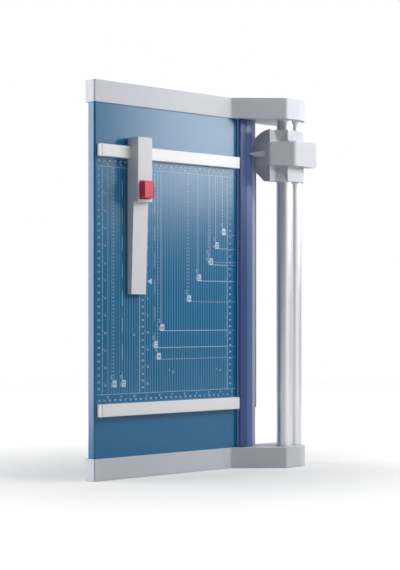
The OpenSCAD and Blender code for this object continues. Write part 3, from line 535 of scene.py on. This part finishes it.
for wide, deep, label, upright_dash, level_dash in paper_formats:
    x = cut_x - wide * mm
    y = stop_y - deep * mm
    upright_w = dashed_w if upright_dash == dashed else plain_w
    line_along_y(y, far_line_y, x, upright_w, upright_dash[0] * mm, upright_dash[1] * mm)
    if level_dash:
        line_along_x(x, right_line, y, level_w, level_dash[0] * mm, level_dash[1] * mm)
        line_along_x(right_line, field_right, y, level_end_w)
    if label:
        label_x = x - label_left
        label_y = y - label_drop
        patch(label_x, label_y, label_x + label_w, label_y + label_h, label_lift)
        number(label, label_x + label_w / 2, label_y + label_h / 2, label_tall, turned=True,
               lift=label_number_lift, points_to=label_points, faces_to=label_faces)
    number(round(wide), x - size_left, y + wide_rise, size_tall, turned=True)
    number(round(deep), x - size_left, y + deep_rise, size_tall, turned=True)

# a pointer for the backstop, and five small numbers at the lower formats: the number,
# and its distance in mm from the cut and from the far bar
pointer_x = cut_x - 230 * mm
pointer_l = 8 * mm
pointer_half = 4.6 * mm
start = len(ink_points)
ink_points.extend([(pointer_x, 0, print_z), (pointer_x + pointer_l, -pointer_half, print_z),
                   (pointer_x + pointer_l, pointer_half, print_z)])
ink_faces.append((start, start + 1, start + 2))
small_tall = 3.4 * mm
small_numbers = ((3, 256.5, 259.4), (1, 185.9, 313.7), (2, 178.4, 316.9), (1, 87.7, 313.7),
                 (2, 79.6, 316.2))
for value, across, down in small_numbers:
    number(value, cut_x - across * mm, stop_y - down * mm, small_tall)


def new_piece(name, points, faces, material, body):
    """A new piece from points and faces, riding on a body."""
    mesh = bpy.data.meshes.new(name)
    mesh.from_pydata(points, [], faces)
    mesh.materials.append(material)
    made = bpy.data.objects.new(name, mesh)
    bpy.context.scene.collection.objects.link(made)
    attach(made, body)
    return made


ink, place = finish("pale_ink", {"IOR": 1.5})
ink_spots = place.noise(1800, 3, 0.6)
ink_tone = ink_spots.between(colour("b4d2e6"), colour("d2e6f2"))
apply(ink, ink_tone, ink_spots * 0.15 + 0.35, ink_spots.bump(0.004 * mm))
table_print = new_piece("table_print", ink_points, ink_faces, ink, "base")
label_print = new_piece("label_print", label_points, label_faces, paint, "base")

# Blades: a ground steel bed knife beside the table's edge and the round blade that
# rolls along it. The grip jaw of the backstop is cut from the same steel.
steel, place = finish("ground_steel", {"Metallic": 1.0})
grinding = place.stretched(30, 1400, 60).noise(1, 4, 0.65)
steel_tone = grinding.between(colour("82868e"), colour("92969e"))
apply(steel, steel_tone, grinding * 0.16 + 0.26, grinding.bump(0.006 * mm))
for node in ("bed_knife", "round_blade", "grip_jaw"):
    dress(node, steel, 0.1 * mm, segments=2)

# Knife carrier and blade hub: a drawn aluminium profile under the bed knife, with the
# fine lines of drawing along its length, and a hub for the round blade in the same metal.
alu, place = finish("drawn_aluminium", {"Metallic": 1.0})
drawing = place.stretched(1500, 12, 1500).noise(1, 3, 0.6)
alu_tone = drawing.between(colour("c6c8ce"), colour("e2e4e8"))
apply(alu, alu_tone, drawing * 0.12 + 0.30, drawing.bump(0.008 * mm))
for node in ("knife_carrier", "blade_hub"):
    dress(node, alu, 0.2 * mm, segments=2)

# Screws, plugs, pins, springs and the lock lever: steel under bright zinc, whose
# crystals show as small flakes. They hold and press the other pieces together.
zinc, place = finish("zinc_plate", {"Metallic": 1.0})
crystals = place.noise(900, 4, 0.7)
zinc_tone = crystals.between(colour("9ea2a8"), colour("c4c8cc"))
apply(zinc, zinc_tone, crystals * 0.25 + 0.28, crystals.bump(0.02 * mm))
for node in ("knife_screws", "cap_screws", "rail_plugs", "rail_washers", "rail_screws", "bar_screws",
             "strip_pins", "near_spring", "far_spring", "guard_screws", "saddle_pins", "blade_axle",
             "jaw_screws", "lever_pin", "lock_lever", "lock_spring"):
    dress(node, zinc, 0.1 * mm, segments=2)

# Ruler bars: white enamelled aluminium profiles across the table, screwed on from
# below, each with a groove along both sides.
enamel, place = finish("bar_enamel", {"IOR": 1.5})
ripple = place.noise(500, 2)
enamel_tone = ripple.between(colour("f6f6f7"), colour("fbfbfc"))
apply(enamel, enamel_tone, ripple * 0.1 + 0.30, ripple.bump(0.01 * mm))
for node in ("near_bar", "far_bar"):
    dress(node, enamel, 0.2 * mm, segments=2)


# End plugs: white nylon caps pressed on the left ends of the ruler bars. A dark joint
# shows where the plug meets the enamel.
def skinned(row, rows, inside_out=False):
    """The faces of a closed skin over rows of points, with an end face at each end."""
    faces = []
    for i in range(rows - 1):
        for k in range(row):
            a = i * row + k
            b = i * row + (k + 1) % row
            faces.append((a, a + row, b + row, b) if inside_out else (a, b, b + row, a + row))
    start_face = tuple(range(row))
    end_face = tuple(range((rows - 1) * row, rows * row))
    if inside_out:
        return faces + [start_face, end_face[::-1]]
    return faces + [start_face[::-1], end_face]


def sleeve(name, outline, x0, x1, material):
    """A closed length of an outline of Y and Z, from x0 to x1, with soft edges."""
    points = [(x, y, z) for x in (x0, x1) for y, z in outline]
    made = new_piece(name, points, skinned(len(outline), 2), material, "base")
    soften(made, sleeve_round, segments=2)
    return made


def bar_outline(low, high, proud):
    """The outline across a ruler bar with its side grooves, a little proud of it."""
    groove_depth = 1.4 * mm
    bottom_z = low[2] + 0.02 * mm
    groove_low = low[2] + 3.75 * mm
    groove_high = low[2] + 5.95 * mm
    top_z = high[2] + proud
    sides = []
    for y, inward in ((low[1] - proud, groove_depth), (high[1] + proud, -groove_depth)):
        sides.append([(y, bottom_z), (y, groove_low), (y + inward, groove_low),
                      (y + inward, groove_high), (y, groove_high), (y, top_z)])
    return sides[0] + sides[1][::-1]


nylon, place = finish("plug_nylon", {"IOR": 1.53})
mottle = place.noise(400, 3)
nylon_tone = mottle.between(colour("dddee2"), colour("e8e9ec"))
apply(nylon, nylon_tone, mottle * 0.1 + 0.45, mottle.bump(0.02 * mm))
joint, place = finish("plug_joint", {"IOR": 1.5})
dirt = place.noise(900, 3)
apply(joint, dirt.between(colour("4a4c52"), colour("6a6c72")), dirt * 0.1 + 0.7)
sleeve_round = 0.12 * mm
plug_over = 0.6 * mm
plug_l = 1.2 * mm
plug_proud = 0.25 * mm
joint_w = 0.7 * mm
joint_proud = 0.04 * mm
for end, low, high in (("near", near_bar_low, near_bar_high), ("far", far_bar_low, far_bar_high)):
    plug_x = low[0] - plug_over
    seam_x = low[0] + plug_l
    plug = sleeve(end + "_bar_plug", bar_outline(low, high, plug_proud), plug_x, seam_x, nylon)
    joint_outline = bar_outline(low, high, joint_proud)
    seam = sleeve(end + "_plug_joint", joint_outline, seam_x, seam_x + joint_w, joint)

# Clamp strip: extruded acrylic, tinted violet blue right through, so that its thick
# back hides the table more than its thin front edge hides the steel below it.
acrylic, place = finish("strip_acrylic", {"IOR": 1.49})
streaks = place.stretched(150, 3, 150).noise(1, 1)
thin_edge_h = 2.5 * mm
knife_margin = 9 * mm
edge_z = min(v.co.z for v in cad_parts["clamp_strip"].data.vertices) + thin_edge_h
knife_haze_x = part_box("bed_knife")[0][0] - knife_margin
least_haze = 0.28
grazing_haze = 0.3
thin_haze = 0.5
knife_haze = 0.32
thick = place.part("Z") > edge_z
deep_tone = streaks.between(colour("6e84bd"), colour("7990ca"))
pale_tone = streaks.between(colour("ccd6ec"), colour("dbe4f6"))
apply(acrylic, thick.between(pale_tone, deep_tone), streaks * 0.04 + 0.26)
acrylic_tree = acrylic.node_tree
strip = Value(acrylic_tree)
thin_view = strip.node("ShaderNodeBsdfTransparent", {}, {"Color": (0.98, 0.99, 1.0, 1)})
thick_view = strip.node("ShaderNodeBsdfTransparent", {}, {"Color": (0.52, 0.60, 0.83, 1)})
through = strip.node("ShaderNodeMixShader", {}, {0: thick, 1: thin_view, 2: thick_view})
skin = Value(acrylic_tree, acrylic_tree.nodes["Principled BSDF"].outputs[0])
grazing = strip.node("ShaderNodeLayerWeight", {}, {"Blend": 0.3}, "Facing")
over_knife = (place.part("X") > knife_haze_x) * thick
haze = grazing * grazing_haze + (1 - thick) * thin_haze + over_knife * knife_haze + least_haze
strip_look = strip.node("ShaderNodeMixShader", {}, {0: haze, 1: through, 2: skin})
acrylic_tree.links.new(strip_look.socket, acrylic_tree.nodes["Material Output"].inputs["Surface"])
dress("clamp_strip", acrylic, 0.2 * mm, segments=2)

# Rails: two drawn aluminium tubes with a satin anodised skin, which the carriage slides
# on. Screws in the end caps hold them.
satin, place = finish("satin_rail", {"Metallic": 1.0})
draw_lines = place.stretched(500, 3, 500).noise(1, 1)
satin_tone = draw_lines.between(colour("dcdde1"), colour("ecedf0"))
apply(satin, satin_tone, draw_lines * 0.08 + 0.32)
for node in ("left_rail", "right_rail"):
    dress(node, satin, 0.2 * mm, segments=2)

# Cutting head: a light grey moulded carriage on the rails, the grip that crosses it,
# the darker blade guard, and the finger that presses the strip down. The guard and the
# finger are of the head's grey plastic, painted darker as shade.
head_finish = moulding("head_moulding", "d5d7de", "cacdd5", 0.44)
# painted shade: the guard's and the finger's tone is the head's grey made darker
guard_shaded_finish = moulding("guard_moulding_shaded", "c8cad2", "bec0c9", 0.46)
dress("carriage", head_finish, 1.5 * mm, segments=4, angle=25)
dress("saddle", head_finish, 2.2 * mm, segments=5, angle=25)
for node in ("blade_guard", "finger"):
    dress(node, guard_shaded_finish, 0.6 * mm)

# Slide bushes: cream coloured slippery plastic, pressed into the carriage's bores. They
# run on the rails.
liner_finish = moulding("slide_liner", "e4e0d2", "dad6c6", 0.5)
dress("slide_bushes", liner_finish, 0.2 * mm, segments=2)

# Fillets: where the grip crosses the carriage, both are moulded into one with soft
# hollow fillets along the grip's two sides. They follow the shelf, a short slope and
# the carriage's deck, and grow with the grip's height.
shelf_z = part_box("blade_guard")[1][2]
deck_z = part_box("carriage")[1][2]
grip_low, grip_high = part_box("saddle")
grip_mid = (grip_low[1] + grip_high[1]) / 2
grip_left_half = 18.25 * mm
grip_taper = 0.021
slope_foot = cut_x + 13 * mm
slope_top = cut_x + 18 * mm
grip_slope = 1.12
fillet_r = 6.5 * mm
fillet_start = cut_x - 4.5 * mm
fillet_end = cut_x + 50 * mm
fillet_root = 0.8 * mm
fillet_least = 0.05 * mm
fillet_share = 0.7
end_share = 0.5
stations = 40
fillet_steps = 8


def fillet_row(x, side):
    """The points across the fillet at one place along the grip, its root point last."""
    rise = min(max((x - slope_foot) / (slope_top - slope_foot), 0), 1)
    base = shelf_z + rise * (deck_z - shelf_z)
    grip_z = min(shelf_z + (x - fillet_start) * grip_slope, grip_high[2])
    r = min(fillet_share * (grip_z - base), fillet_r, (fillet_end - x) * end_share) + fillet_least
    wall = grip_left_half + (x - grip_low[0]) * grip_taper
    points = []
    for k in range(fillet_steps + 1):
        turn = math.pi / 2 * k / fillet_steps
        out = wall + r * (1 - math.sin(turn))
        points.append((x, grip_mid + side * out, base + r * (1 - math.cos(turn))))
    points.append((x, grip_mid + side * (wall - fillet_root), base - fillet_root))
    return points


for name, side in (("far_fillet", 1), ("near_fillet", -1)):
    fillet_points = []
    for i in range(stations + 1):
        fillet_points += fillet_row(fillet_start + (fillet_end - fillet_start) * i / stations, side)
    fillet_faces = skinned(fillet_steps + 2, stations + 1, side < 0)
    fillet = new_piece(name, fillet_points, fillet_faces, head_finish, "head")
    smooth(fillet)
    fillet.data.set_sharp_from_angle(angle=math.radians(50))

# Guard lip: a thin black rubber bead round the far arc of the guard, which draws a dark
# line along the arc. Its outline is across the guard and out from the arc, in mm.
guard_low, guard_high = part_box("blade_guard")
lip_r = 51 * mm
lip_middle = guard_high[1] - lip_r
lip_start = math.asin((guard_low[2] - guard_high[2]) / lip_r)
lip_outline = ((0.2, -0.5), (0.2, 0.35), (0.5, 0.6), (1.2, 0.6), (1.5, 0.35), (1.5, -0.5))
lip_steps = 28
lip_points = []
for i in range(lip_steps + 1):
    turn = lip_start * (1 - i / lip_steps)
    for across, out in lip_outline:
        r = lip_r + out * mm
        lip_y = lip_middle + r * math.cos(turn)
        lip_points.append((guard_low[0] + across * mm, lip_y, guard_high[2] + r * math.sin(turn)))
lip_faces = skinned(len(lip_outline), lip_steps + 1)
guard_lip = new_piece("guard_lip", lip_points, lip_faces, rubber, "head")
smooth(guard_lip)

# Backstop: a light grey moulding that straddles the far ruler bar, with a tapering arm
# over the table. The steel jaw below it hooks into the bar's near groove.
stop_finish = moulding("stop_moulding", "ebebee", "e2e2e7", 0.42)
dress("backstop", stop_finish, 0.6 * mm)

# Lock button: the red cap of the rocker in the backstop, moulded with round edges that
# are painted pale as a highlight.
button_finish, place = finish("button_red", {"IOR": 1.5})
wisps = place.noise(30, 2)
button_red = wisps.between(colour("e03454"), colour("e83e5d"))
# painted highlight: the round edges are mixed towards pale pink
button_highlit_tone = (place.edge(1.6 * mm) * 0.45).between(button_red, colour("f0a3b2"))
apply(button_finish, button_highlit_tone, wisps * 0.1 + 0.3)
dress("lock_button", button_finish, 1.6 * mm, segments=4)
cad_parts["lock_button"].modifiers["edges"].use_clamp_overlap = False

low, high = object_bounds()
